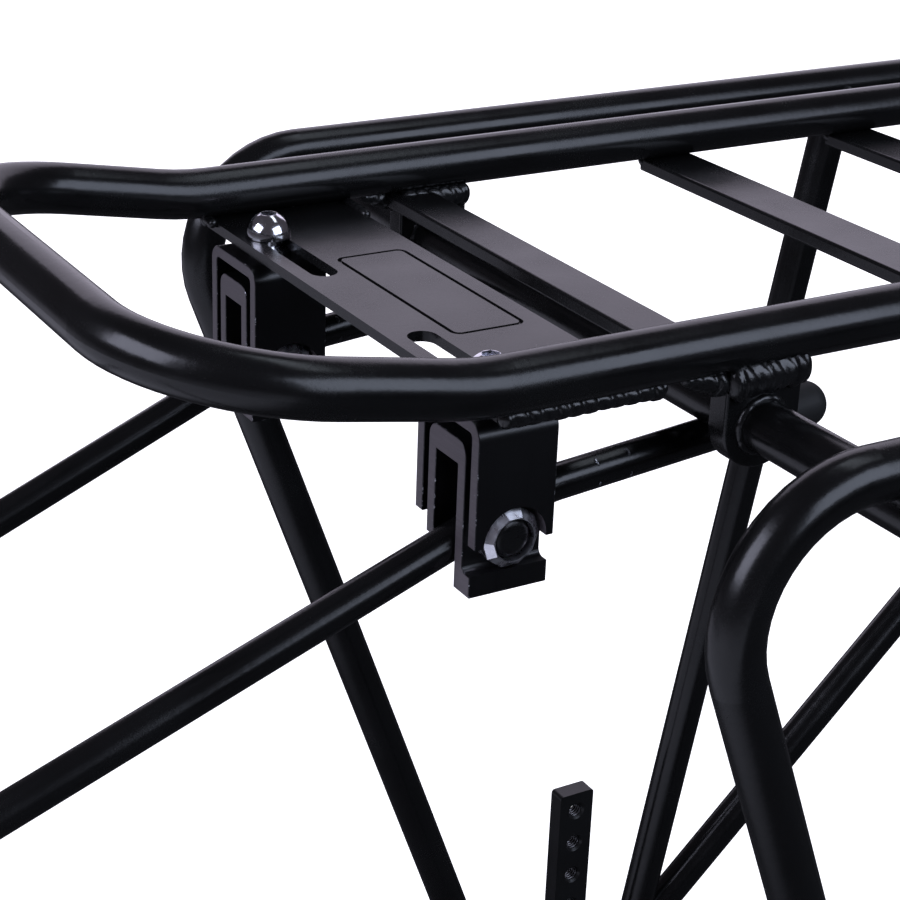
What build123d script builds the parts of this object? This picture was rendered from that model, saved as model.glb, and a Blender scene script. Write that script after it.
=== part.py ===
"""Rear rack (luggage carrier) for a bicycle.

Millimetres. The origin lies midway between the two lower frame eyelets of the
foot bars. +X points rearward, +Y to the right side of the bicycle, +Z up.
"""

import os
from math import hypot

from build123d import *

os.makedirs("parts", exist_ok=True)

SIDES = (("left", -1), ("right", 1))

# ---------------------------------------------------------------- driving dimensions

# deck: one bent rod, its front end kicked up
deck_rod = 10.0
deck_height = 385.0
deck_half_width = 57.0
deck_front_x = -187.8
deck_rear_x = 235.0
deck_corner_radius = 28.0
kick_start_x = -135.8
kick_rise = 9.4
kick_bend_radius = 60.0

# flat bars welded under the deck rods
bar_thickness = 3.0
bar_half_length = 57.5
bar_edge_radius = 0.6
plate_x = -115.8
plate_width = 30.0
plate_thickness = 2.0
plate_panel_length = 46.0
plate_panel_depth = 0.5
plate_panel_radius = 2.0
plate_groove = 0.8
crossbar_widths = (10.0, 13.0, 13.0, 13.0, 13.0, 13.0)
crossbar_first_x = -84.8
crossbar_second_x = -17.3
crossbar_pitch = 53.5

# slots of the front plate, one at each end, for the stay clamps
slot_x = -124.9
slot_width = 5.5
slot_inner_y = 19.0
slot_outer_y = 45.5
# the pair of slots sits a little to the left of the deck's centre line
slot_shift_y = -2.0

# side frames
side_rod = 9.5
side_y = 98.9
side_rail_z = deck_height - 6.6
front_bend_radius = 23.0
rear_bend_radius = 50.0
front_leg_slope = 0.372
front_leg_x_at_rail = -123.3
rear_leg_slope = 1.04
rear_leg_x_at_rail = 288.6
mid_leg_slope = 0.18
mid_leg_x_at_rail = 68.4
leg_end_z = 83.0

# cross tubes that carry the side frames under the deck
cross_tube_z = deck_height - 15.3
cross_tube_xs = {"front": -79.3, "rear": 162.2}
cross_tube_half_length = 108.0
cross_tube_end_radius = 1.5
ear_thickness = 5.0
ear_width = 16.0
ear_edge_radius = 0.6

# foot bars and the plates that hold them
bar_width = 11.0
bar_depth = 5.0
hole_pitch = 10.8
hole_count = 16
hole_row_z = 13.0
bar_end_margin = 6.0
thread_radius = 2.1
rim_chamfer = 0.6
bar_corner_radius = 1.0
eyelet_radius = 2.75
bracket_thickness = 3.0
bracket_top_z = 116.0
bracket_bottom_z = 61.0
bracket_corner_radius = 5.0
bracket_overlap = 4.0
foot_travel = 7.0
foot_bolt_holes = (6, 8)
foot_head_radius = 4.4
foot_head_height = 3.2
foot_head_edge_radius = 1.6
foot_key_depth = 2.0
foot_washer_radius = 5.0
foot_washer_thickness = 1.0

# stay clamps
clamp_ys = {"left": -43.5, "right": 40.5}
# both clamps are fitted the same way round, with the lip to the left
lip_side = -1
clamp_length = 15.5
outer_half_width = 10.0
outer_height = 22.5
outer_wall = 2.3
outer_corner_radius = 3.2
inner_half_width = 6.0
inner_wall = 2.4
inner_web = 4.5
inner_drop = 4.7
inner_corner_radius = 2.6
inner_leg_height = 20.8
lip_drop = 23.3
lip_height = 4.0
lip_reach = 8.6
lip_root_radius = 1.2
grip_offset_x = 0.2
grip_drop = 22.2
clamp_edge_radius = 0.25

# clamp bolt (M5, dome head) and the faceted ring nut with its set screw
bolt_radius = 2.5
bolt_clearance = 0.05
dome_radius = 4.45
dome_skirt = 0.4
dome_height = 4.5
hex_key_flat = 3.0
hex_key_depth = 2.6
bolt_tail = 0.5
clamp_washer_radius = 4.6
clamp_washer_thickness = 0.8
ring_facets = 10
ring_radius = 5.5
ring_bore = 3.8
ring_height = 3.9
ring_bevel = 1.3
ring_clearance = 0.6
screw_crown_radius = 1.8
screw_recess = 0.4

# stays
stay_rod = 6.5
# the stays are set apart by a few millimetres, as each one slides in its clamp
stay_bends = {"left": (-113.9, 358.2), "right": (-120.7, 357.4)}
stay_front_slopes = {"left": 0.378, "right": 0.436}
stay_rear_slope = 0.093
stay_rear_run = 57.0
stay_tip_x = -299.8
stay_bend_radius = 25.0
tip_thickness = 3.5
tip_width = 11.0
tip_hole_radius = 2.75
tip_edge_radius = 1.2
tip_flat_length = 11.0
cap_radius = 4.35
cap_length = 12.0
cap_crown_flat = 0.4

# rear lamp bracket
lamp_plate_width = 61.0
lamp_plate_height = 34.0
lamp_plate_thickness = 2.5
lamp_hole_spacing = 50.0
lamp_hole_radius = 2.6
lamp_hole_drop = 0.65
lamp_corner_radius = 5.0

# moving faces stand apart by this much
slip = 0.15

# ---------------------------------------------------------------- derived dimensions

deck_radius = deck_rod / 2
side_radius = side_rod / 2
stay_radius = stay_rod / 2
bar_top_z = deck_height - deck_radius
bar_bottom_z = bar_top_z - bar_thickness
mid_foot_x = mid_leg_x_at_rail - mid_leg_slope * (side_rail_z - leg_end_z)
# the rear leg runs forward and down until it meets the middle leg
rear_foot_z = side_rail_z - (rear_leg_x_at_rail - mid_leg_x_at_rail) / (rear_leg_slope - mid_leg_slope)
hole_zs = [hole_row_z + index * hole_pitch for index in range(hole_count)]
crossbar_xs = [crossbar_first_x] + [crossbar_second_x + i * crossbar_pitch for i in range(5)]


def leg_x(x_at_rail, slope, z):
    """X of a leg's axis at height z; slope is rearward travel per unit of fall."""
    return x_at_rail + slope * (side_rail_z - z)


def rail_points(y, foot_z):
    """Corners of a side rail: front foot, two bends and rear foot."""
    rear_foot_x = leg_x(rear_leg_x_at_rail, -rear_leg_slope, foot_z)
    return [
        (leg_x(front_leg_x_at_rail, front_leg_slope, leg_end_z), y, leg_end_z),
        (front_leg_x_at_rail, y, side_rail_z),
        (rear_leg_x_at_rail, y, side_rail_z),
        (rear_foot_x, y, foot_z),
    ]


def finish(builder, name):
    """Label a finished piece and write it."""
    builder.part.label = name
    export_step(builder.part, f"parts/{name}.step")


# ---------------------------------------------------------------- deck

deck_points = [
    (deck_rear_x, 0, deck_height),
    (deck_rear_x, deck_half_width, deck_height),
    (kick_start_x, deck_half_width, deck_height),
    (deck_front_x, deck_half_width, deck_height + kick_rise),
    (deck_front_x, -deck_half_width, deck_height + kick_rise),
    (kick_start_x, -deck_half_width, deck_height),
    (deck_rear_x, -deck_half_width, deck_height),
    (deck_rear_x, 0, deck_height),
]
deck_bends = [
    deck_corner_radius,
    kick_bend_radius,
    deck_corner_radius,
    deck_corner_radius,
    kick_bend_radius,
    deck_corner_radius,
]

# two half loops, joined where the rod's ends were butt welded
with BuildPart() as deck_loop:
    for half_points, half_bends in (
        (deck_points[:4] + [(deck_front_x, 0, deck_height + kick_rise)], deck_bends[:3]),
        ([(deck_front_x, 0, deck_height + kick_rise)] + deck_points[4:], deck_bends[3:]),
    ):
        with BuildLine() as deck_half:
            FilletPolyline(*half_points, radius=half_bends)
        with BuildSketch(Plane(origin=half_points[0], z_dir=deck_half.line % 0)):
            Circle(deck_radius)
        sweep(path=deck_half.line)
finish(deck_loop, "deck_loop")

# front plate: a slot at each end and a shallow raised panel between them
with BuildPart() as front_plate:
    with BuildSketch(Plane.XY.offset(bar_top_z)):
        with Locations((plate_x, 0)):
            Rectangle(plate_width, 2 * bar_half_length)
        slot_length = slot_outer_y - slot_inner_y + slot_width
        slot_mid = (slot_outer_y + slot_inner_y) / 2
        with Locations((slot_x, slot_shift_y + slot_mid), (slot_x, slot_shift_y - slot_mid)):
            SlotOverall(slot_length, slot_width, rotation=90, mode=Mode.SUBTRACT)
    extrude(amount=-plate_thickness)
    fillet(front_plate.edges().filter_by(Axis.Z).filter_by(GeomType.LINE), bar_edge_radius)
    with BuildSketch(Plane.XY.offset(bar_top_z)):
        with Locations((plate_x + plate_width / 8, 0)):
            RectangleRounded(plate_width / 2, plate_panel_length, plate_panel_radius)
            RectangleRounded(
                plate_width / 2 - 2 * plate_groove,
                plate_panel_length - 2 * plate_groove,
                plate_panel_radius - plate_groove,
                mode=Mode.SUBTRACT,
            )
    extrude(amount=-plate_panel_depth, mode=Mode.SUBTRACT)
finish(front_plate, "front_plate")

for number, (bar_x, width) in enumerate(zip(crossbar_xs, crossbar_widths), start=1):
    with BuildPart() as crossbar:
        with BuildSketch(Plane.XZ.offset(-bar_half_length)):
            with Locations((bar_x, bar_top_z - bar_thickness / 2)):
                RectangleRounded(width, bar_thickness, bar_edge_radius)
        extrude(amount=2 * bar_half_length)
    finish(crossbar, f"crossbar_{number}")

# lamp bracket: hangs from the rear of the deck, with two lamp holes
with BuildPart() as lamp_bracket:
    lamp_plane = Plane(
        origin=(deck_rear_x - lamp_plate_thickness / 2, 0, deck_height),
        x_dir=(0, 1, 0),
        z_dir=(1, 0, 0),
    )
    with BuildSketch(lamp_plane):
        with Locations((0, -lamp_plate_height / 2)):
            RectangleRounded(lamp_plate_width, lamp_plate_height, lamp_corner_radius)
        with Locations((0, -lamp_plate_height * lamp_hole_drop)):
            with GridLocations(lamp_hole_spacing, 0, 2, 1):
                Circle(lamp_hole_radius, mode=Mode.SUBTRACT)
    extrude(amount=lamp_plate_thickness)
    with BuildSketch(Plane.XZ.offset(-lamp_plate_width)):
        with Locations((deck_rear_x, deck_height)):
            Circle(deck_radius)
    extrude(amount=2 * lamp_plate_width, mode=Mode.SUBTRACT)
    hanging = lamp_bracket.solids().sort_by(Axis.Z)[0]
with BuildPart() as lamp_plate:
    add(hanging)
finish(lamp_plate, "lamp_bracket")

# ---------------------------------------------------------------- cross tubes and ears

for place, tube_x in cross_tube_xs.items():
    with BuildPart() as cross_tube:
        with BuildSketch(Plane.XZ.offset(-cross_tube_half_length)):
            with Locations((tube_x, cross_tube_z)):
                Circle(side_radius)
        extrude(amount=2 * cross_tube_half_length)
        fillet(cross_tube.edges().filter_by(GeomType.CIRCLE), cross_tube_end_radius)
        # the tube is coped to the bent rails that lie on it
        for side, s in SIDES:
            points = rail_points(s * side_y, rear_foot_z)
            with BuildLine() as rail_path:
                FilletPolyline(*points, radius=[front_bend_radius, rear_bend_radius])
            with BuildSketch(Plane(origin=points[0], z_dir=rail_path.line % 0)):
                Circle(side_radius)
            sweep(path=rail_path.line, mode=Mode.SUBTRACT)
    finish(cross_tube, f"{place}_cross_tube")

    for side, s in SIDES:
        with BuildPart() as ear:
            ear_top = deck_height - cross_tube_z
            with BuildSketch(Plane.XZ.offset(-s * deck_half_width - ear_thickness / 2)):
                with Locations((tube_x, cross_tube_z)):
                    Circle(ear_width / 2)
                with Locations((tube_x, cross_tube_z + ear_top / 2)):
                    Rectangle(ear_width, ear_top)
                with Locations((tube_x, cross_tube_z)):
                    Circle(side_radius, mode=Mode.SUBTRACT)
            extrude(amount=ear_thickness)
            rims = ear.edges().filter_by(GeomType.CIRCLE)
            fillet(rims.filter_by(lambda rim: rim.radius > side_radius + 1), ear_edge_radius)
            with BuildSketch(Plane.YZ.offset(tube_x - ear_width)):
                with Locations((s * deck_half_width, deck_height)):
                    Circle(deck_radius)
                with Locations((s * deck_half_width, deck_height + deck_radius)):
                    Rectangle(deck_rod, deck_rod)
            extrude(amount=2 * ear_width, mode=Mode.SUBTRACT)
            with BuildSketch(Plane.XY.offset(bar_bottom_z)):
                for bar_x, width in zip(crossbar_xs, crossbar_widths):
                    with Locations((bar_x, 0)):
                        Rectangle(width, 2 * bar_half_length)
            extrude(amount=bar_thickness, mode=Mode.SUBTRACT)
        finish(ear, f"{place}_{side}_ear")

# ---------------------------------------------------------------- side frames

for side, s in SIDES:
    y = s * side_y
    points = rail_points(y, rear_foot_z)
    mid_axis = Plane(
        origin=(mid_foot_x, y, leg_end_z),
        x_dir=(0, 1, 0),
        z_dir=(mid_leg_x_at_rail - mid_foot_x, 0, side_rail_z - leg_end_z),
    )
    mid_length = hypot(mid_leg_x_at_rail - mid_foot_x, side_rail_z - leg_end_z)

    # front leg, rail and rear leg are one bent rod
    with BuildPart() as side_rail:
        with BuildLine() as rail_path:
            FilletPolyline(*points, radius=[front_bend_radius, rear_bend_radius])
        with BuildSketch(Plane(origin=points[0], z_dir=rail_path.line % 0)):
            Circle(side_radius)
        sweep(path=rail_path.line)
        with BuildSketch(mid_axis):
            Circle(side_radius)
        extrude(amount=mid_length - deck_rod, mode=Mode.SUBTRACT)
    finish(side_rail, f"{side}_side_rail")

    with BuildPart() as mid_leg:
        with BuildSketch(mid_axis):
            Circle(side_radius)
        extrude(amount=mid_length)
        with BuildSketch(Plane.YZ.offset(mid_leg_x_at_rail - 2 * side_rod)):
            with Locations((y, side_rail_z)):
                Circle(side_radius)
            with Locations((y, side_rail_z + side_radius)):
                Rectangle(side_rod, side_rod)
        extrude(amount=4 * side_rod, mode=Mode.SUBTRACT)
    finish(mid_leg, f"{side}_mid_leg")

    # plate welded across the outer faces of the leg ends, slotted for the bolts
    bracket_y = side_y + side_radius
    slot_holes_z = [hole_zs[index] for index in foot_bolt_holes]
    slot_mid_z = sum(slot_holes_z) / 2
    slot_overall = slot_holes_z[1] - slot_holes_z[0] + 2 * foot_travel + 2 * eyelet_radius
    with BuildPart() as leg_bracket:
        with BuildSketch(Plane.XZ.offset(-s * (bracket_y + bracket_thickness / 2))):
            with BuildLine():
                FilletPolyline(
                    (leg_x(front_leg_x_at_rail, front_leg_slope, bracket_top_z) - bracket_overlap, bracket_top_z),
                    (leg_x(mid_leg_x_at_rail, -mid_leg_slope, bracket_top_z) + bracket_overlap, bracket_top_z),
                    (bar_width, bracket_bottom_z),
                    (-bar_width, bracket_bottom_z),
                    radius=bracket_corner_radius,
                    close=True,
                )
            make_face()
            with Locations((0, slot_mid_z)):
                SlotOverall(slot_overall, 2 * eyelet_radius, rotation=90, mode=Mode.SUBTRACT)
        extrude(amount=bracket_thickness / 2, both=True)
    finish(leg_bracket, f"{side}_leg_bracket")

    # foot bar: flat bar with a row of threaded holes; the lowest is the eyelet
    bar_y = bracket_y - slip - bar_depth / 2
    bar_bottom = -bar_end_margin
    bar_top = hole_zs[-1] + bar_end_margin
    with BuildPart() as foot_bar:
        with BuildSketch(Plane.XZ.offset(-s * bar_y)):
            with Locations((0, (bar_top + bar_bottom) / 2)):
                Rectangle(bar_width, bar_top - bar_bottom)
            with Locations(*[(0, z) for z in hole_zs]):
                Circle(thread_radius, mode=Mode.SUBTRACT)
            Circle(eyelet_radius, mode=Mode.SUBTRACT)
        extrude(amount=bar_depth / 2, both=True)
        corners = foot_bar.edges().filter_by(Axis.Y).filter_by(GeomType.LINE)
        fillet(corners.group_by(Axis.Z)[0], bar_width / 2 - 0.5)
        fillet(corners.group_by(Axis.Z)[-1], bar_corner_radius)
        rims = foot_bar.edges().filter_by(GeomType.CIRCLE)
        rims = rims.filter_by(lambda rim: abs(rim.radius - thread_radius) < 0.01)
        chamfer(rims, rim_chamfer)
    finish(foot_bar, f"{side}_foot_bar")

    outward = Plane(origin=(0, s * (bracket_y + bracket_thickness + slip), 0), x_dir=(1, 0, 0), z_dir=(0, s, 0))
    # on this plane local Y runs down on the right side and up on the left
    bolt_places = [(0, -s * z) for z in slot_holes_z]
    with BuildPart() as foot_washers:
        with BuildSketch(outward):
            with Locations(*bolt_places):
                Circle(foot_washer_radius)
                Circle(bolt_radius, mode=Mode.SUBTRACT)
        extrude(amount=foot_washer_thickness)
    finish(foot_washers, f"{side}_foot_washers")

    with BuildPart() as foot_bolts:
        with BuildSketch(outward.offset(foot_washer_thickness)):
            with Locations(*bolt_places):
                Circle(foot_head_radius)
        extrude(amount=foot_head_height)
        head_rims = foot_bolts.edges().filter_by(GeomType.CIRCLE).group_by(Axis.Y)[-1 if s > 0 else 0]
        fillet(head_rims, foot_head_edge_radius)
        with BuildSketch(outward.offset(foot_washer_thickness)):
            with Locations(*bolt_places):
                Circle(thread_radius)
        extrude(amount=-(foot_washer_thickness + 2 * slip + bracket_thickness + bar_depth))
        with BuildSketch(outward.offset(foot_washer_thickness + foot_head_height)):
            with Locations(*bolt_places):
                RegularPolygon(hex_key_flat / 2, 6, major_radius=False)
        extrude(amount=-foot_key_depth, mode=Mode.SUBTRACT)
    finish(foot_bolts, f"{side}_foot_bolts")

# ---------------------------------------------------------------- stay clamps

clamp_x = slot_x
clamp_top = bar_top_z - plate_thickness - clamp_washer_thickness - 2 * slip
clamp_front_x = clamp_x - clamp_length / 2
grip_x = clamp_x + grip_offset_x
grip_z = clamp_top - grip_drop
inner_top = clamp_top - inner_drop

for side, s in SIDES:
    y = clamp_ys[side]
    # profiles are drawn looking rearward: local X is Y of the rack, local Y is its Z
    profile = Plane(origin=(clamp_front_x, y, 0), x_dir=(0, 1, 0), z_dir=(1, 0, 0))
    grip = Plane(origin=(grip_x, y, grip_z), x_dir=(1, 0, 0), z_dir=(0, lip_side, 0))

    # outer channel, notched round the ring nut
    with BuildPart() as outer_clamp:
        with BuildSketch(profile):
            with Locations((0, clamp_top - outer_height / 2)):
                Rectangle(2 * outer_half_width, outer_height)
            with Locations((0, clamp_top - outer_wall - outer_height / 2)):
                Rectangle(2 * (outer_half_width - outer_wall), outer_height, mode=Mode.SUBTRACT)
        extrude(amount=clamp_length)
        long_edges = outer_clamp.edges().filter_by(Axis.X)
        fillet(long_edges.group_by(Axis.Z)[-1], outer_corner_radius)
        long_edges = outer_clamp.edges().filter_by(Axis.X).filter_by(
            lambda edge: abs(edge.center().Z - (clamp_top - outer_wall)) < 0.01
            and abs(abs(edge.center().Y - y) - (outer_half_width - outer_wall)) < 0.01
        )
        fillet(long_edges, outer_corner_radius - outer_wall)
        with BuildSketch(grip.offset(inner_half_width + 1)):
            Circle(ring_radius + ring_clearance)
        extrude(amount=outer_half_width, mode=Mode.SUBTRACT)
        with BuildSketch(Plane.XY.offset(clamp_top)):
            with Locations((clamp_x, y)):
                Circle(bolt_radius + bolt_clearance)
        extrude(amount=-2 * outer_wall, mode=Mode.SUBTRACT)
        fillet(outer_clamp.faces().filter_by(Axis.X).edges(), clamp_edge_radius)
    finish(outer_clamp, f"{side}_outer_clamp")

    # inner channel: grips the stay; its outboard leg ends in an outward lip
    with BuildPart() as inner_clamp:
        with BuildSketch(profile):
            with BuildLine():
                lip_top = clamp_top - lip_drop - inner_drop
                Polyline(
                    (-lip_side * inner_half_width, inner_top),
                    (lip_side * inner_half_width, inner_top),
                    (lip_side * inner_half_width, lip_top),
                    (lip_side * lip_reach, lip_top),
                    (lip_side * lip_reach, lip_top - lip_height),
                    (lip_side * (inner_half_width - inner_wall), lip_top - lip_height),
                    (lip_side * (inner_half_width - inner_wall), inner_top - inner_web),
                    (-lip_side * (inner_half_width - inner_wall), inner_top - inner_web),
                    (-lip_side * (inner_half_width - inner_wall), inner_top - inner_leg_height),
                    (-lip_side * inner_half_width, inner_top - inner_leg_height),
                    close=True,
                )
            make_face()
        extrude(amount=clamp_length)
        long_edges = inner_clamp.edges().filter_by(Axis.X)
        fillet(long_edges.group_by(Axis.Z)[-1], inner_corner_radius)
        root = inner_clamp.edges().filter_by(Axis.X).filter_by(
            lambda edge: abs(edge.center().Z - lip_top) < 0.01
            and abs(abs(edge.center().Y - y) - inner_half_width) < 0.01
        )
        fillet(root, lip_root_radius)
        with BuildSketch(grip):
            Circle(bolt_radius)
        extrude(amount=2 * inner_half_width, mode=Mode.SUBTRACT)
        with BuildSketch(Plane.XY.offset(inner_top)):
            with Locations((clamp_x, y)):
                Circle(bolt_radius + bolt_clearance)
        extrude(amount=-2 * inner_web, mode=Mode.SUBTRACT)
        fillet(inner_clamp.faces().filter_by(Axis.X).edges(), clamp_edge_radius)
    finish(inner_clamp, f"{side}_inner_clamp")

    # faceted ring nut, and the domed set screw that presses on the stay
    with BuildPart() as ring_nut:
        with BuildSketch(grip.offset(inner_half_width)):
            RegularPolygon(ring_radius, ring_facets)
            Circle(ring_bore, mode=Mode.SUBTRACT)
        extrude(amount=ring_height)
        outer_rim = ring_nut.edges().group_by(Axis.Y)[0].filter_by(GeomType.LINE)
        chamfer(outer_rim, ring_bevel)
    finish(ring_nut, f"{side}_ring_nut")

    with BuildPart() as set_screw:
        with BuildSketch(grip.offset(stay_radius + 2 * slip)):
            Circle(bolt_radius)
        extrude(amount=inner_half_width - stay_radius - 2 * slip)
        with BuildSketch(grip.offset(inner_half_width)):
            Circle(ring_bore)
        extrude(amount=ring_height - screw_recess)
        crown_edge = set_screw.edges().filter_by(GeomType.CIRCLE).group_by(Axis.Y)[0]
        fillet(crown_edge, screw_crown_radius)
    finish(set_screw, f"{side}_set_screw")

    # dome-head bolt with a hexagon socket, through slot and both channels
    head_z = bar_top_z + slip
    # a washer keeps the channel clear of the plate's underside
    with BuildPart() as clamp_washer:
        with BuildSketch(Plane.XY.offset(clamp_top + slip)):
            with Locations((clamp_x, y)):
                Circle(clamp_washer_radius)
                Circle(bolt_radius, mode=Mode.SUBTRACT)
        extrude(amount=clamp_washer_thickness)
    finish(clamp_washer, f"{side}_clamp_washer")

    with BuildPart() as clamp_bolt:
        with BuildSketch(Plane(origin=(clamp_x, y, head_z), x_dir=(1, 0, 0), z_dir=(0, -1, 0))):
            with BuildLine():
                Line((0, 0), (dome_radius, 0))
                Line((dome_radius, 0), (dome_radius, dome_skirt))
                CenterArc((0, dome_skirt), dome_radius, 0, 90)
                Line((0, dome_skirt + dome_radius), (0, 0))
            make_face()
        revolve(axis=Axis((clamp_x, y, head_z), (0, 0, 1)))
        split(bisect_by=Plane.XY.offset(head_z + dome_height), keep=Keep.BOTTOM)
        with BuildSketch(Plane.XY.offset(head_z)):
            with Locations((clamp_x, y)):
                Circle(bolt_radius)
        extrude(amount=-(head_z - inner_top + inner_web + bolt_tail))
        with BuildSketch(Plane.XY.offset(head_z + dome_height)):
            with Locations((clamp_x, y)):
                RegularPolygon(hex_key_flat / 2, 6, major_radius=False)
        extrude(amount=-hex_key_depth, mode=Mode.SUBTRACT)
    finish(clamp_bolt, f"{side}_clamp_bolt")

# ---------------------------------------------------------------- stays

for side, s in SIDES:
    y = clamp_ys[side]
    bend_x, bend_z = stay_bends[side]
    stay_drop = stay_front_slopes[side] * (bend_x - stay_tip_x)
    front_run = hypot(bend_x - stay_tip_x, stay_drop)
    flat_start = 1 - 2 * tip_flat_length / front_run
    flat_full = 1 - tip_flat_length / front_run
    rear_end = Vector(bend_x + stay_rear_run, y, bend_z + stay_rear_slope * stay_rear_run)
    bend = Vector(bend_x, y, bend_z)
    tip = Vector(stay_tip_x, y, bend_z - stay_drop)
    rod_end = bend + (tip - bend) * flat_start
    flat_root = bend + (tip - bend) * flat_full

    with BuildPart() as stay:
        with BuildLine() as stay_path:
            FilletPolyline(rear_end, bend, rod_end, radius=stay_bend_radius)
        with BuildSketch(Plane(origin=rear_end, z_dir=bend - rear_end)):
            Circle(stay_radius)
        sweep(path=stay_path.line)
        # the front end is pressed flat and drilled
        with BuildSketch(Plane(origin=rod_end, x_dir=(0, 1, 0), z_dir=tip - bend)):
            Circle(stay_radius)
        with BuildSketch(Plane(origin=flat_root, x_dir=(0, 1, 0), z_dir=tip - bend)):
            RectangleRounded(tip_thickness, tip_width, tip_edge_radius)
        loft()
        with BuildSketch(Plane(origin=tip, x_dir=bend - tip, z_dir=(0, 1, 0))):
            with Locations((tip_flat_length / 2, 0)):
                Rectangle(tip_flat_length, tip_width)
            Circle(tip_width / 2)
            Circle(tip_hole_radius, mode=Mode.SUBTRACT)
        extrude(amount=tip_thickness / 2, both=True)
    finish(stay, f"{side}_stay")

    with BuildPart() as stay_cap:
        rearward = Plane(origin=rear_end, x_dir=(0, 1, 0), z_dir=rear_end - bend)
        with BuildSketch(rearward.offset(-cap_length + cap_radius)):
            Circle(cap_radius)
        extrude(amount=cap_length)
        fillet(stay_cap.edges().filter_by(GeomType.CIRCLE).sort_by(Axis.X)[-1], cap_radius - cap_crown_flat)
        with BuildSketch(rearward.offset(-cap_length + cap_radius)):
            Circle(stay_radius)
        extrude(amount=cap_length - cap_radius, mode=Mode.SUBTRACT)
    finish(stay_cap, f"{side}_stay_cap")
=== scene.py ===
"""Looks of the rear rack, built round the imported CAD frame. Metres; +X rearward, +Y right, +Z up."""

import math
import random

import bmesh
import bpy
from mathutils import Matrix, Vector, noise


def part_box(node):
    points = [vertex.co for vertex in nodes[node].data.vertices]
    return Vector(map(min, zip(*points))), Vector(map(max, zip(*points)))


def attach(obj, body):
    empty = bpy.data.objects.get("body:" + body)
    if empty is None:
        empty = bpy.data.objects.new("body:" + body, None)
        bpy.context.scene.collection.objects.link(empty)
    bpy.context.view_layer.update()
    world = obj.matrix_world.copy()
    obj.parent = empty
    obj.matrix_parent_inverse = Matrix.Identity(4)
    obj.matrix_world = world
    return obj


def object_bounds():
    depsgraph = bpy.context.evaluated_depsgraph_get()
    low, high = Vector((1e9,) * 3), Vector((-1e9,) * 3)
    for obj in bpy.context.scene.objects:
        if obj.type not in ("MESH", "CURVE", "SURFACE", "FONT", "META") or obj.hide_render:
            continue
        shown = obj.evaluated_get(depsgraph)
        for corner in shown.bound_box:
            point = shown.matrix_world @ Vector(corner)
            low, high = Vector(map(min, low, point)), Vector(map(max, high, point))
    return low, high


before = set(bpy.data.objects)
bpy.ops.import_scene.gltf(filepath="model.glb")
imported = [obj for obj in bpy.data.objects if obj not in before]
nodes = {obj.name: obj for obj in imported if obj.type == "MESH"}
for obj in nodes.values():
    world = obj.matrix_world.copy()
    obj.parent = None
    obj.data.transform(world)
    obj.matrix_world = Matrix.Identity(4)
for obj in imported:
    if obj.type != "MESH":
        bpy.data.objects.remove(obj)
cad_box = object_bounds()
MM = 0.001
X, Y, Z = Vector((1, 0, 0)), Vector((0, 1, 0)), Vector((0, 0, 1))
SIDES = (("left", -1), ("right", 1))

# ---------------------------------------------------------------- places taken from the frame


def middle(node):
    low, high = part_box(node)
    return (low + high) / 2


DECK_R = 5 * MM
SIDE_R = 4.75 * MM
STAY_R = 3.25 * MM
CAP_R = 4.35 * MM
INNER_WALL = 2.4 * MM
THREAD_R = 2.1 * MM
FIRST_HOLE_Z = 13.0 * MM
HOLE_PITCH = 10.8 * MM
HOLE_COUNT = 16
FOOT_BOLT_HOLES = (6, 8)
CROSSBAR_COUNT = 6
FRONT_LEG_SLOPE = 0.372
FRONT_FOOT_X = -13.4 * MM
REAR_LEG_SLOPE = 1.04
REAR_LEG_X = 288.6 * MM
STAY_REAR_WAY = Vector((1, 0, 0.093)).normalized()
plate_low, plate_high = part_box("front_plate")
deck_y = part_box("deck_loop")[1].y - DECK_R
bar_top = plate_high.z
bar_end = plate_high.y
rail_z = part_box("right_side_rail")[1].z - SIDE_R
rail_y = middle("right_side_rail").y

# ---------------------------------------------------------------- shader helpers


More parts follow.
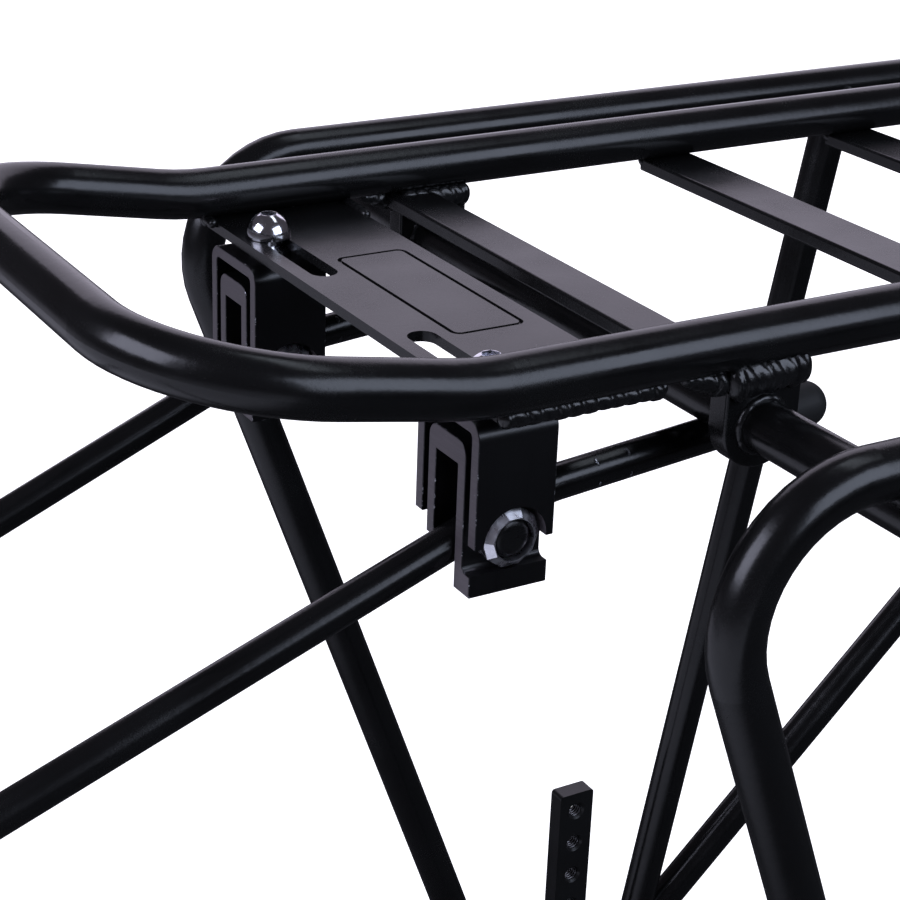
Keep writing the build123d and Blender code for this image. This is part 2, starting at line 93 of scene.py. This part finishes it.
class Shader:
    """A Principled material with short calls for its nodes."""

    def __init__(self, name, **sockets):
        self.material = bpy.data.materials.new(name)
        self.material.use_nodes = True
        self.tree = self.material.node_tree
        self.surface = self.tree.nodes["Principled BSDF"]
        for key, value in sockets.items():
            self.surface.inputs[key.replace("_", " ")].default_value = value
        self.place = self.tree.nodes.new("ShaderNodeTexCoord")

    def add(self, kind, inputs=None, **settings):
        node = self.tree.nodes.new(kind)
        for key, value in settings.items():
            setattr(node, key, value)
        for key, value in (inputs or {}).items():
            self.put(node.inputs[key], value)
        return node

    def put(self, socket, value):
        if isinstance(value, bpy.types.NodeSocket):
            self.tree.links.new(value, socket)
        else:
            socket.default_value = value

    def math(self, operation, a, b=0.0, clamp=False):
        node = self.add("ShaderNodeMath", operation=operation, use_clamp=clamp)
        self.put(node.inputs[0], a)
        self.put(node.inputs[1], b)
        return node.outputs[0]

    def stretched(self, scale):
        """Object coordinates, scaled per axis: grain runs along the axes with small scales."""
        node = self.add("ShaderNodeMapping", {"Vector": self.place.outputs["Object"], "Scale": scale})
        return node.outputs[0]

    def noise(self, scale, detail=3.0, roughness=0.5, vector=None):
        where = vector or self.place.outputs["Object"]
        node = self.add(
            "ShaderNodeTexNoise",
            {"Vector": where, "Scale": scale, "Detail": detail, "Roughness": roughness},
        )
        return node.outputs["Fac"]

    def spots(self, scale, radius, vector=None):
        """1 inside sparse round spots, 0 elsewhere."""
        where = vector or self.place.outputs["Object"]
        node = self.add("ShaderNodeTexVoronoi", {"Vector": where, "Scale": scale})
        return self.math("LESS_THAN", node.outputs["Distance"], radius)

    def span(self, value, low, high, to_low=0.0, to_high=1.0):
        node = self.add(
            "ShaderNodeMapRange",
            {"Value": value, "From Min": low, "From Max": high, "To Min": to_low, "To Max": to_high},
        )
        return node.outputs[0]

    def mix(self, factor, a, b):
        node = self.add("ShaderNodeMix", data_type="RGBA")
        self.put(node.inputs["Factor"], factor)
        self.put(node.inputs[6], a)
        self.put(node.inputs[7], b)
        return node.outputs[2]

    def bump(self, height, strength, distance, under=None):
        node = self.add("ShaderNodeBump", {"Height": height, "Strength": strength, "Distance": distance})
        if under is not None:
            self.tree.links.new(under, node.inputs["Normal"])
        return node.outputs[0]

    def facing(self, axis, limit=0.8):
        """1 on faces that look along an axis of the piece, either way."""
        node = self.add("ShaderNodeSeparateXYZ", {"Vector": self.place.outputs["Normal"]})
        return self.math("GREATER_THAN", self.math("ABSOLUTE", node.outputs[axis]), limit)

    def near(self, axis, place, reach):
        """1 at a plane across an axis, falling to 0 at a distance from it."""
        node = self.add("ShaderNodeSeparateXYZ", {"Vector": self.place.outputs["Object"]})
        apart = self.math("ABSOLUTE", self.math("SUBTRACT", node.outputs[axis], place))
        return self.span(apart, 0.0, reach, 1.0, 0.0)

    def finish(self, colour=None, roughness=None, normal=None, metallic=None):
        for key, value in (
            ("Base Color", colour),
            ("Roughness", roughness),
            ("Normal", normal),
            ("Metallic", metallic),
        ):
            if value is not None:
                self.put(self.surface.inputs[key], value)
        return self.material


def grey(value, warm=0.0):
    return (value * (1 + warm), value, value * (1 - warm), 1.0)


# ---------------------------------------------------------------- materials


def powder_coat(name, dark, rough, peel=1.0):
    """Satin powder coat: orange peel, slow patches of gloss, dust specks."""
    s = Shader(name, Specular_IOR_Level=0.42)
    patches = s.noise(60.0, 2.0)
    fine = s.noise(2600.0, 2.0)
    speck = s.spots(420.0, 0.035)
    colour = s.mix(patches, grey(dark, 0.03), grey(dark * 1.7, -0.04))
    colour = s.mix(s.math("MULTIPLY", speck, 0.5), colour, grey(0.05))
    slow = s.span(patches, 0.3, 0.7, rough - 0.05, rough + 0.05)
    gloss = s.math("ADD", slow, s.span(fine, 0.3, 0.7, -0.03, 0.03))
    orange_peel = s.noise(750.0, 2.0)
    normal = s.bump(fine, 0.10 * peel, 0.05 * MM, s.bump(orange_peel, 0.16 * peel, 0.12 * MM))
    return s.finish(colour, gloss, normal)


def weld_coat():
    """The same coat over weld beads: fine ridges show through and it shines a little more."""
    s = Shader("weld_coat", Specular_IOR_Level=0.5)
    lumps = s.noise(1400.0, 3.0)
    patches = s.noise(300.0, 2.0)
    colour = s.mix(patches, grey(0.005), grey(0.011, -0.03))
    gloss = s.span(patches, 0.3, 0.7, 0.2, 0.3)
    return s.finish(colour, gloss, s.bump(lumps, 0.35, 0.15 * MM))


def anodised(name, low, high, lip_z):
    """Black anodised channel: saw lines on its ends, drawn lines on its sides, bare metal on its edges."""
    s = Shader(name, Specular_IOR_Level=0.5)
    end = s.facing("X")
    saw = s.noise(1.0, 4.0, 0.75, s.stretched((200.0, 60.0, 3200.0)))
    drawn = s.noise(1.0, 3.0, 0.6, s.stretched((2600.0, 300.0, 40.0)))
    broad = s.noise(140.0, 2.0)
    end_colour = s.mix(saw, (0.026, 0.022, 0.024, 1), (0.17, 0.148, 0.16, 1))
    side_colour = s.mix(drawn, (0.003, 0.003, 0.0033, 1), (0.0055, 0.0054, 0.0061, 1))
    colour = s.mix(end, side_colour, end_colour)
    # bare metal where corners were knocked: along both ends and the lip
    edge = s.math("MAXIMUM", s.near("X", low.x, 0.35 * MM), s.near("X", high.x, 0.35 * MM))
    edge = s.math("MAXIMUM", edge, s.near("Z", lip_z, 0.3 * MM))
    side = s.math("SUBTRACT", 1.0, end)
    knocks = s.span(s.noise(900.0, 4.0, 0.7), 0.58, 0.66)
    bare = s.math("MULTIPLY", s.math("MULTIPLY", s.math("GREATER_THAN", edge, 0.25), side), knocks)
    pits = s.span(s.noise(1500.0, 3.0, 0.7), 0.68, 0.72)
    corner = s.math("MULTIPLY", s.math("MULTIPLY", end, pits), 0.5)
    bare = s.math("MAXIMUM", bare, corner, clamp=True)
    colour = s.mix(bare, colour, (0.55, 0.56, 0.6, 1))
    rough_side = s.span(drawn, 0.3, 0.7, 0.28, 0.34)
    rough_end = s.span(saw, 0.3, 0.7, 0.38, 0.55)
    gloss = s.add("ShaderNodeMix", {0: end, 2: rough_side, 3: rough_end}).outputs[0]
    ends = s.math("MULTIPLY", saw, end)
    sides = s.math("MULTIPLY", drawn, side)
    normal = s.bump(ends, 0.35, 0.06 * MM, s.bump(sides, 0.05, 0.02 * MM, s.bump(broad, 0.08, 0.1 * MM)))
    return s.finish(colour, gloss, normal, bare)


def polished(name, shade, rough, scratch):
    """Bright metal with hairline scratches and faint haze."""
    s = Shader(name, Metallic=1.0)
    haze = s.noise(500.0, 3.0)
    hair = s.noise(1.0, 3.0, 0.6, s.stretched((5000.0, 500.0, 700.0)))
    colour = s.mix(haze, (shade * 0.9, shade * 0.9, shade * 0.95, 1), (shade, shade, shade * 1.04, 1))
    slow = s.span(haze, 0.3, 0.7, rough * 0.6, rough * 1.4)
    gloss = s.math("ADD", slow, s.span(hair, 0.55, 0.75, 0.0, scratch))
    return s.finish(colour, gloss, s.bump(hair, 0.08, 0.03 * MM))


def dull_black(name, dark, rough, grain):
    """Black oxide or rubber: matt, with a fine tooth."""
    s = Shader(name, Specular_IOR_Level=0.35)
    tooth = s.noise(grain, 4.0, 0.65)
    smears = s.noise(1.0, 3.0, 0.6, s.stretched((120.0, 420.0, 420.0)))
    colour = s.mix(smears, grey(dark), grey(dark * 1.9, -0.02))
    gloss = s.span(smears, 0.3, 0.7, rough - 0.08, rough + 0.08)
    return s.finish(colour, gloss, s.bump(tooth, 0.25, 0.08 * MM))


def nicked_coat():
    """Powder coat broken through to bright metal in small ragged chips."""
    s = Shader("nicked_coat", Specular_IOR_Level=0.5)
    chips = s.span(s.noise(650.0, 4.0, 0.7), 0.55, 0.6)
    colour = s.mix(chips, grey(0.005), (0.62, 0.63, 0.7, 1))
    gloss = s.span(chips, 0.0, 1.0, 0.3, 0.22)
    return s.finish(colour, gloss, s.bump(chips, 0.5, 0.1 * MM), chips)


coat = powder_coat("satin_black_coat", 0.0042, 0.23)
flat_coat = powder_coat("flat_bar_coat", 0.0048, 0.24, 0.7)
foot_coat = powder_coat("foot_bar_coat", 0.006, 0.34)
weld_paint = weld_coat()
nicked = nicked_coat()
chrome = polished("chrome", 0.86, 0.12, 0.15)
ring_chrome = polished("satin_chrome", 0.95, 0.3, 0.15)
zinc = polished("zinc_plate", 0.68, 0.22, 0.2)
oxide = dull_black("black_oxide", 0.006, 0.3, 1800.0)
rubber = dull_black("matt_rubber", 0.015, 0.62, 2400.0)
thread_steel = polished("thread_steel", 0.3, 0.3, 0.2)

MATERIALS = {
    "deck_loop": coat,
    "front_plate": flat_coat,
    "crossbar": flat_coat,
    "lamp_bracket": flat_coat,
    "cross_tube": coat,
    "ear": coat,
    "side_rail": coat,
    "mid_leg": coat,
    "leg_bracket": flat_coat,
    "foot_bar": foot_coat,
    "foot_bolts": oxide,
    "foot_washers": zinc,
    "ring_nut": ring_chrome,
    "set_screw": oxide,
    "clamp_washer": zinc,
    "clamp_bolt": chrome,
    "stay": coat,
    "stay_cap": rubber,
}


def dress(node, material):
    data = nodes[node].data
    data.materials.clear()
    data.materials.append(material)
    for polygon in data.polygons:
        polygon.material_index = 0


for node in nodes:
    if node.endswith("clamp"):
        low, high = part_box(node)
        dress(node, anodised(f"{node}_finish", low, high, low.z))
        continue
    matches = [key for key in MATERIALS if key in node]
    dress(node, MATERIALS[max(matches, key=len)])

# ---------------------------------------------------------------- pieces


def piece(name, mesh, body, material):
    """A new object from a bmesh, riding on a body."""
    data = bpy.data.meshes.new(name)
    bmesh.ops.recalc_face_normals(mesh, faces=mesh.faces)
    mesh.to_mesh(data)
    mesh.free()
    data.shade_smooth()
    data.materials.append(material)
    made = bpy.data.objects.new(name, data)
    bpy.context.scene.collection.objects.link(made)
    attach(made, body)
    return made


def resample(points, step):
    """Evenly spaced points along a polyline."""
    lengths = [0.0]
    for a, b in zip(points, points[1:]):
        lengths.append(lengths[-1] + (b - a).length)
    count = max(4, int(lengths[-1] / step))
    even, k = [], 0
    for i in range(count + 1):
        want = lengths[-1] * i / count
        while k < len(lengths) - 2 and lengths[k + 1] < want:
            k += 1
        run = lengths[k + 1] - lengths[k]
        even.append(points[k].lerp(points[k + 1], (want - lengths[k]) / run if run else 0.0))
    return even, lengths[-1] / count


AROUND = 22


def bead(mesh, points, outward, width, height, pitch, seed, depth=0.22, closed=False, swell=None):
    """A weld bead along a path: overlapping rounded ripples, half sunk between the parts it joins.

    outward points from the joint to the open side at each point, or is one vector for all.
    """
    points, step = resample(points, pitch / 9)
    count = len(points) - (1 if closed else 0)
    draw = random.Random(seed)
    jitter = [draw.uniform(-1, 1) for _ in range(int(count * step / pitch) + 4)]
    rings = []
    for i in range(count):
        before = points[(i - 1) % count] if closed else points[max(i - 1, 0)]
        after = points[(i + 1) % count] if closed else points[min(i + 1, count - 1)]
        along = (after - before).normalized()
        out = outward(points[i]) if callable(outward) else outward
        out = (out - along * out.dot(along)).normalized()
        side = along.cross(out)
        travelled = i * step
        size = swell(i / (count - 1)) if swell else 1.0
        if not closed:
            end = min(travelled, (count - 1 - i) * step) / (height * 0.9)
            size *= math.sqrt(max(0.0, 1 - (1 - min(end, 1.0)) ** 2)) * 0.92 + 0.08
        ring = []
        for j in range(AROUND):
            turn = 2 * math.pi * j / AROUND
            lag = 0.55 * width * (math.sin(turn) ** 2)
            phase = (travelled + lag) / pitch + 0.15 * jitter[int(travelled / pitch)]
            ripple = abs(math.sin(math.pi * phase)) ** 0.55
            wild = 0.09 * jitter[int(phase) % len(jitter)]
            lump = 0.06 * noise.noise(points[i] * 420 + Vector((turn, seed, 0)))
            reach = size * (1 - depth * (1 - ripple) + wild + lump)
            rise = out * height * reach * math.cos(turn)
            ring.append(mesh.verts.new(points[i] + rise + side * width * reach * math.sin(turn)))
        rings.append(ring)
    pairs = list(zip(rings, rings[1:])) + ([(rings[-1], rings[0])] if closed else [])
    for a, b in pairs:
        for j in range(AROUND):
            mesh.faces.new((a[j], a[(j + 1) % AROUND], b[(j + 1) % AROUND], b[j]))
    if not closed:
        mesh.faces.new(rings[0])
        mesh.faces.new(rings[-1])


def line(a, b):
    return [Vector(a), Vector(b)]


# beads under the deck rods, at the ends of the plate and crossbars
plate_beads = bmesh.new()
for _, s in SIDES:
    out_y = s * (bar_end + 0.3 * MM)
    bead(
        plate_beads,
        line((plate_low.x - 1 * MM, out_y, bar_top - 0.6 * MM),
             (plate_high.x + 1.5 * MM, out_y, bar_top - 0.6 * MM)),
        Vector((0, s, -0.8)), width=2.0 * MM, height=1.7 * MM, pitch=2.7 * MM, seed=11 + s,
    )
    for edge_x, run, turn in ((plate_high.x, 12.0, 1), (plate_low.x, 5.0, -1)):
        bead(
            plate_beads,
            [
                Vector((edge_x + turn * 0.6 * MM, s * (deck_y - 1 * MM), bar_top + 0.2 * MM)),
                Vector((edge_x + turn * 0.5 * MM, s * (deck_y - run * MM), bar_top - 0.3 * MM)),
            ],
            Vector((turn, 0, 1.2)),
            width=1.1 * MM, height=1.0 * MM, pitch=2.2 * MM, seed=31 + s, depth=0.14,
        )
piece("plate_welds", plate_beads, "frame", weld_paint)

bar_beads = bmesh.new()
for number in range(1, CROSSBAR_COUNT + 1):
    low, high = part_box(f"crossbar_{number}")
    for _, s in SIDES:
        out_y = s * (bar_end + 0.1 * MM)
        bead(
            bar_beads,
            line((low.x - 0.4 * MM, out_y, bar_top - 0.7 * MM),
                 (high.x + 0.4 * MM, out_y, bar_top - 0.7 * MM)),
            Vector((0, s, -0.8)), width=1.8 * MM, height=1.5 * MM, pitch=2.5 * MM, seed=40 + number + 7 * s,
        )
piece("crossbar_welds", bar_beads, "frame", weld_paint)

# heavy beads where the ears meet the deck rods, with a flared toe in front
ear_beads = bmesh.new()
tube_beads = bmesh.new()
for place in ("front", "rear"):
    tube = middle(f"{place}_cross_tube")
    for side, s in SIDES:
        low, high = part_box(f"{place}_{side}_ear")
        outer = max(abs(low.y), abs(high.y))
        inner = min(abs(low.y), abs(high.y))
        seed = 90 + 10 * s + (3 if place == "front" else 0)
        bead(
            ear_beads,
            line((low.x - 0.5 * MM, s * (outer + 0.2 * MM), bar_top - 1.4 * MM),
                 (high.x + 0.8 * MM, s * (outer + 0.4 * MM), bar_top - 0.2 * MM)),
            Vector((0, s, 0.1)), width=3.5 * MM, height=2.3 * MM, pitch=2.7 * MM, seed=seed, depth=0.2,
        )
        bead(
            ear_beads,
            line((low.x - 0.5 * MM, s * (inner - 0.1 * MM), bar_top - 1.6 * MM),
                 (high.x + 0.5 * MM, s * (inner - 0.1 * MM), bar_top - 1.6 * MM)),
            Vector((0, -s, -0.1)),
            width=2.4 * MM, height=1.6 * MM, pitch=2.6 * MM, seed=seed + 1, depth=0.18,
        )
        # toe: runs forward under the rod and thickens towards the ear
        bead(
            ear_beads,
            line((low.x - 9 * MM, s * (deck_y + 1.2 * MM), bar_top + 0.2 * MM),
                 (low.x + 1 * MM, s * (deck_y + 1.0 * MM), bar_top - 2.2 * MM)),
            Vector((-0.3, s, -0.5)), width=2.6 * MM, height=1.9 * MM, pitch=2.4 * MM, seed=seed + 2,
            depth=0.2, swell=lambda t: 0.45 + 0.75 * t,
        )
        for face in (outer, inner):
            ring_r = SIDE_R + 0.1 * MM
            ring = [
                Vector((tube.x + ring_r * math.cos(a), s * face, tube.z + ring_r * math.sin(a)))
                for a in [2 * math.pi * k / 72 for k in range(73)]
            ]
            bead(
                tube_beads, ring, lambda p, c=tube: Vector((p.x - c.x, 0, p.z - c.z)),
                width=0.9 * MM, height=0.9 * MM, pitch=2.2 * MM, seed=seed + 4, depth=0.12, closed=True,
            )
        # saddle where the side rail lies on the cross tube
        gap_z = (rail_z + tube.z) / 2
        loop = []
        for k in range(97):
            a = 2 * math.pi * k / 96
            loop.append(
                Vector((tube.x + 3.7 * MM * math.cos(a), s * rail_y + 3.7 * MM * math.sin(a),
                        gap_z - 0.9 * MM * math.cos(2 * a)))
            )
        centre = Vector((tube.x, s * rail_y, gap_z))
        bead(
            tube_beads, loop, lambda p, c=centre: Vector((p.x - c.x, p.y - c.y, 0)),
            width=1.9 * MM, height=1.8 * MM, pitch=2.6 * MM, seed=seed + 6, depth=0.2, closed=True,
        )
piece("ear_welds", ear_beads, "frame", weld_paint)
piece("cross_tube_welds", tube_beads, "frame", weld_paint)


def saddle(branch, branch_way, branch_r, main, main_way, main_r):
    """The closed line where a branch rod's surface runs into a main rod."""
    branch_way, main_way = branch_way.normalized(), main_way.normalized()
    u = branch_way.cross(main_way).normalized()
    v = branch_way.cross(u)
    loop = []
    for k in range(97):
        a = 2 * math.pi * k / 96
        start = branch + (u * math.cos(a) + v * math.sin(a)) * branch_r
        w = start - main
        p = w - main_way * w.dot(main_way)
        q = branch_way - main_way * branch_way.dot(main_way)
        qa, qb, qc = q.dot(q), 2 * p.dot(q), p.dot(p) - main_r**2
        root = max(qb * qb - 4 * qa * qc, 0.0)
        loop.append(start + branch_way * ((-qb - math.sqrt(root)) / (2 * qa)))
    return loop


# rings where the legs join, and beads along the leg ends on the brackets
leg_beads = bmesh.new()
LEG_RING = {"width": 1.2 * MM, "height": 1.2 * MM, "pitch": 2.4 * MM, "depth": 0.18, "closed": True}
for side, s in SIDES:
    leg_low, leg_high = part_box(f"{side}_mid_leg")
    leg_way = Vector((leg_high.x - leg_low.x - 2 * SIDE_R, 0, leg_high.z - leg_low.z - SIDE_R))
    leg_way.normalize()
    top = Vector((leg_high.x - SIDE_R, s * rail_y, rail_z))
    ring = saddle(top - leg_way * 30 * MM, leg_way, SIDE_R, top, X, SIDE_R)
    bead(leg_beads, ring, lambda p, c=top: p - c + Z * 6 * MM, seed=130 + s, **LEG_RING)
    # the rear leg's lower end runs into the middle leg
    foot_way = Vector((REAR_LEG_SLOPE, 0, 1)).normalized()
    fall = (REAR_LEG_X - top.x) / (REAR_LEG_SLOPE - leg_way.x / leg_way.z)
    foot = top - leg_way * (fall / leg_way.z)
    ring = saddle(foot + foot_way * 40 * MM, -foot_way, SIDE_R, foot, leg_way, SIDE_R)
    bead(leg_beads, ring, lambda p, c=foot: p - c + X * 5 * MM, seed=136 + s, **LEG_RING)
    # both legs are welded along the foot bracket
    low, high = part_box(f"{side}_leg_bracket")
    inner_y = s * (min(abs(low.y), abs(high.y)) - 0.5 * MM)
    front_way = Vector((-FRONT_LEG_SLOPE, 0, 1)).normalized()
    for way, base_x in ((leg_way, leg_low.x + SIDE_R), (front_way, FRONT_FOOT_X)):
        across = way.cross(Y).normalized()
        for edge in (-1, 1):
            start = Vector((base_x, 0, leg_low.z)) + across * edge * 2.6 * MM + way * 3 * MM
            end = start + way * (high.z - leg_low.z - 7 * MM)
            start.y = end.y = inner_y
            bead(
                leg_beads, [start, end], Vector((across.x * edge, -0.5 * s, across.z * edge)),
                width=1.3 * MM, height=1.2 * MM, pitch=2.4 * MM, seed=150 + edge + 5 * s, depth=0.18,
            )
piece("leg_welds", leg_beads, "frame", weld_paint)

# two short beads hold the lamp bracket to the rear rod of the deck
lamp_beads = bmesh.new()
low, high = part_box("lamp_bracket")
for _, s in SIDES:
    bead(
        lamp_beads,
        line((low.x - 0.3 * MM, s * high.y * 0.35, high.z - 1.2 * MM),
             (low.x - 0.3 * MM, s * high.y * 0.9, high.z - 1.2 * MM)),
        Vector((-1, 0, -0.3)), width=1.6 * MM, height=1.3 * MM, pitch=2.5 * MM, seed=170 + s,
    )
piece("lamp_bracket_welds", lamp_beads, "frame", weld_paint)


def chip(mesh, axis_point, axis_way, radius, turn, length, width, seed):
    """A ragged nick on a rod: a thin closed flake following the round surface."""
    draw = random.Random(seed)
    up = (Z - axis_way * Z.dot(axis_way)).normalized()
    side = axis_way.cross(up)
    count = 18
    outline = []
    for k in range(count):
        a = 2 * math.pi * k / count
        reach = (0.6 + 0.4 * abs(math.cos(a)) ** 0.6) * draw.uniform(0.7, 1.1)
        outline.append((width * reach * math.sin(a) / 2, length * reach * math.cos(a) / 2))

    def at(along, round_by, r):
        angle = turn + round_by / radius
        out = up * math.cos(angle) + side * math.sin(angle)
        return mesh.verts.new(axis_point + axis_way * along + out * r)

    crown = at(0, 0, radius + 0.09 * MM)
    root = at(0, 0, radius - 0.5 * MM)
    mid = [at(u * 0.7, v * 0.7, radius + 0.07 * MM) for u, v in outline]
    rim = [at(u, v, radius - 0.04 * MM) for u, v in outline]
    for k in range(count):
        n = (k + 1) % count
        mesh.faces.new((crown, mid[k], mid[n]))
        mesh.faces.new((mid[k], rim[k], rim[n], mid[n]))
        mesh.faces.new((rim[k], root, rim[n]))


def loop_tube(mesh, centre, u, v, radius, thick, around=48, sides=8):
    """A closed ring of round section in the plane of u and v."""
    w = u.cross(v)
    rings = []
    for k in range(around):
        a = 2 * math.pi * k / around
        out = u * math.cos(a) + v * math.sin(a)
        rings.append([
            mesh.verts.new(centre + out * (radius + thick * math.cos(b)) + w * thick * math.sin(b))
            for b in [2 * math.pi * j / sides for j in range(sides)]
        ])
    for k in range(around):
        a, b = rings[k], rings[(k + 1) % around]
        for j in range(sides):
            mesh.faces.new((a[j], a[(j + 1) % sides], b[(j + 1) % sides], b[j]))


# crimps: two rows of nicks pressed round each stay, near its rear end
for side, s in SIDES:
    cap_low, cap_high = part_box(f"{side}_stay_cap")
    end = Vector((cap_high.x - CAP_R, (cap_low.y + cap_high.y) / 2, cap_high.z - CAP_R))
    nicks = bmesh.new()
    for row, back_by in enumerate((40.0 * MM, 46.6 * MM)):
        place = end - STAY_REAR_WAY * back_by
        for spot, (turn, length, width) in enumerate((
            (math.radians(38), 2.0 * MM, 1.1 * MM),
            (math.radians(122), 2.1 * MM, 0.9 * MM),
            (math.radians(-60), 1.8 * MM, 1.0 * MM),
            (math.radians(-140), 2.0 * MM, 0.9 * MM),
        )):
            chip(nicks, place, STAY_REAR_WAY, STAY_R, turn, length, width, 200 + 10 * row + spot + 3 * s)
    piece(f"{side}_stay_nicks", nicks, f"{side}_stay_rod", nicked)

# a bright collar round the set screw, on the inner face of the gripping leg
for side, s in SIDES:
    ring_low, ring_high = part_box(f"{side}_ring_nut")
    centre = (ring_low + ring_high) / 2
    centre.y = ring_high.y + INNER_WALL
    collar = bmesh.new()
    loop_tube(collar, centre, X, Z, 3.1 * MM, 0.2 * MM)
    loop_tube(collar, centre, X, Z, 2.75 * MM, 0.16 * MM)
    piece(f"{side}_screw_collar", collar, f"{side}_clamp", chrome)

# threads show as bright ridges inside the foot bars' holes
for side, s in SIDES:
    low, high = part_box(f"{side}_foot_bar")
    ridges = bmesh.new()
    for index in range(1, HOLE_COUNT):
        if index in FOOT_BOLT_HOLES:
            continue
        hole_z = FIRST_HOLE_Z + index * HOLE_PITCH
        for turn in range(4):
            depth = low.y + (high.y - low.y) * (0.24 + 0.173 * turn)
            loop_tube(ridges, Vector((0, depth, hole_z)), X, Z, THREAD_R - 0.04 * MM, 0.16 * MM, 30, 6)
    piece(f"{side}_foot_threads", ridges, f"{side}_foot", thread_steel)

# ---------------------------------------------------------------- stage, lights and camera

TARGET = middle("left_outer_clamp") - Vector((9.2 * MM, 3.4 * MM, 0))
TARGET.z = bar_top - 9.6 * MM
CAMERA_AZIMUTH = math.radians(-31.086)
CAMERA_ELEVATION = math.radians(23.642)
CAMERA_ROLL = math.radians(2.157)
CAMERA_DISTANCE = 350 * MM
CAMERA_LENS = 85.21
FLOOR_RADIUS = 25.0
FLOOR_GAP = 0.2 * MM
FLOOR_GLOW = 1.05
# painted light on the floor: where the painted pool of light starts and ends, and how bright it is painted
# at each end
LIT_TABLE_X = (-0.34, -0.2)
LIT_TABLE_SHADES = (0.9, 0.07)


def toward(azimuth, elevation):
    """Unit vector from the object to a viewer; azimuth 0 stands on the -Y side, 90 on the +X side."""
    return Vector((
        math.sin(azimuth) * math.cos(elevation),
        -math.cos(azimuth) * math.cos(elevation),
        math.sin(elevation),
    ))


back = toward(CAMERA_AZIMUTH, CAMERA_ELEVATION)
lens = bpy.data.cameras.new("camera")
lens.lens = CAMERA_LENS
lens.sensor_width = 36.0
lens.clip_start = 0.01
lens.clip_end = 100.0
camera = bpy.data.objects.new("camera", lens)
bpy.context.scene.collection.objects.link(camera)
camera.rotation_mode = "QUATERNION"
camera.location = TARGET + back * CAMERA_DISTANCE
level = (-back).to_track_quat("-Z", "Y")
camera.rotation_quaternion = (level.to_matrix() @ Matrix.Rotation(CAMERA_ROLL, 3, "Z")).to_quaternion()
bpy.context.scene.camera = camera


def split_by_ray(tree, others, direct, output):
    """One shader where the camera looks straight at it, another for light and reflections."""
    seen = tree.nodes.new("ShaderNodeLightPath")
    choose = tree.nodes.new("ShaderNodeMixShader")
    tree.links.new(seen.outputs["Is Camera Ray"], choose.inputs[0])
    tree.links.new(others.outputs[0], choose.inputs[1])
    tree.links.new(direct.outputs[0], choose.inputs[2])
    tree.links.new(choose.outputs[0], tree.nodes[output].inputs["Surface"])


floor_mesh = bmesh.new()
bmesh.ops.create_circle(floor_mesh, cap_ends=True, segments=96, radius=FLOOR_RADIUS)
floor_data = bpy.data.meshes.new("floor")
floor_mesh.to_mesh(floor_data)
floor_mesh.free()
floor = bpy.data.objects.new("floor", floor_data)
floor.location = (0, 0, cad_box[0].z - FLOOR_GAP)
bpy.context.scene.collection.objects.link(floor)
pale = bpy.data.materials.new("pale_floor")
pale.use_nodes = True
tree = pale.node_tree
surface = tree.nodes["Principled BSDF"]
surface.inputs["Base Color"].default_value = (0.86, 0.86, 0.88, 1)
surface.inputs["Roughness"].default_value = 0.9
surface.inputs["Specular IOR Level"].default_value = 0.1
glow = tree.nodes.new("ShaderNodeEmission")
glow.inputs["Color"].default_value = (1.0, 1.0, 1.0, 1)
glow.inputs["Strength"].default_value = FLOOR_GLOW
both = tree.nodes.new("ShaderNodeAddShader")
dim = tree.nodes.new("ShaderNodeBsdfDiffuse")
# painted light: for light and reflection rays the floor's colour is painted bright to the left of the rack
# and falls off to the right, standing in for a brightly lit table
place = tree.nodes.new("ShaderNodeTexCoord")
apart = tree.nodes.new("ShaderNodeSeparateXYZ")
painted_light_falloff = tree.nodes.new("ShaderNodeMapRange")
for end, x, shade in zip(("Min", "Max"), LIT_TABLE_X, LIT_TABLE_SHADES):
    painted_light_falloff.inputs[f"From {end}"].default_value = x
    painted_light_falloff.inputs[f"To {end}"].default_value = shade
tree.links.new(place.outputs["Object"], apart.inputs[0])
tree.links.new(apart.outputs[0], painted_light_falloff.inputs["Value"])
tree.links.new(painted_light_falloff.outputs[0], dim.inputs["Color"])
tree.links.new(surface.outputs[0], both.inputs[0])
tree.links.new(glow.outputs[0], both.inputs[1])
split_by_ray(tree, dim, both, "Material Output")
floor_data.materials.append(pale)


def softbox(name, azimuth, elevation, distance, width, height, radiance, colour):
    light = bpy.data.lights.new(name, "AREA")
    light.shape = "RECTANGLE"
    light.size = width
    light.size_y = height
    light.energy = radiance * math.pi * width * height
    light.color = colour
    thing = bpy.data.objects.new(name, light)
    way = toward(math.radians(azimuth), math.radians(elevation))
    thing.location = TARGET + way * distance
    thing.rotation_mode = "QUATERNION"
    thing.rotation_quaternion = way.to_track_quat("Z", "Y")
    thing.visible_camera = False
    bpy.context.scene.collection.objects.link(thing)


softbox(
    "key_right", azimuth=28.0, elevation=27.0, distance=1.3,
    width=1.05, height=0.8, radiance=3.7, colour=(0.72, 0.80, 1.0),
)
softbox(
    "key_left", azimuth=-96.0, elevation=30.0, distance=1.3,
    width=0.95, height=0.8, radiance=5.0, colour=(0.78, 0.80, 1.0),
)
softbox(
    "top", azimuth=100.0, elevation=66.0, distance=1.5,
    width=0.9, height=0.3, radiance=1.8, colour=(0.80, 0.88, 1.0),
)
softbox(
    "backdrop", azimuth=149.0, elevation=16.0, distance=1.8,
    width=2.0, height=1.5, radiance=1.05, colour=(0.88, 0.82, 1.0),
)

world = bpy.data.worlds.new("studio")
bpy.context.scene.world = world
world.use_nodes = True
tree = world.node_tree
room = tree.nodes["Background"]
room.inputs["Color"].default_value = (0.05, 0.046, 0.056, 1)
room.inputs["Strength"].default_value = 1.0
white = tree.nodes.new("ShaderNodeBackground")
white.inputs["Color"].default_value = (1, 1, 1, 1)
white.inputs["Strength"].default_value = 1.0
split_by_ray(tree, room, white, "World Output")
bpy.context.scene.view_settings.view_transform = "Standard"
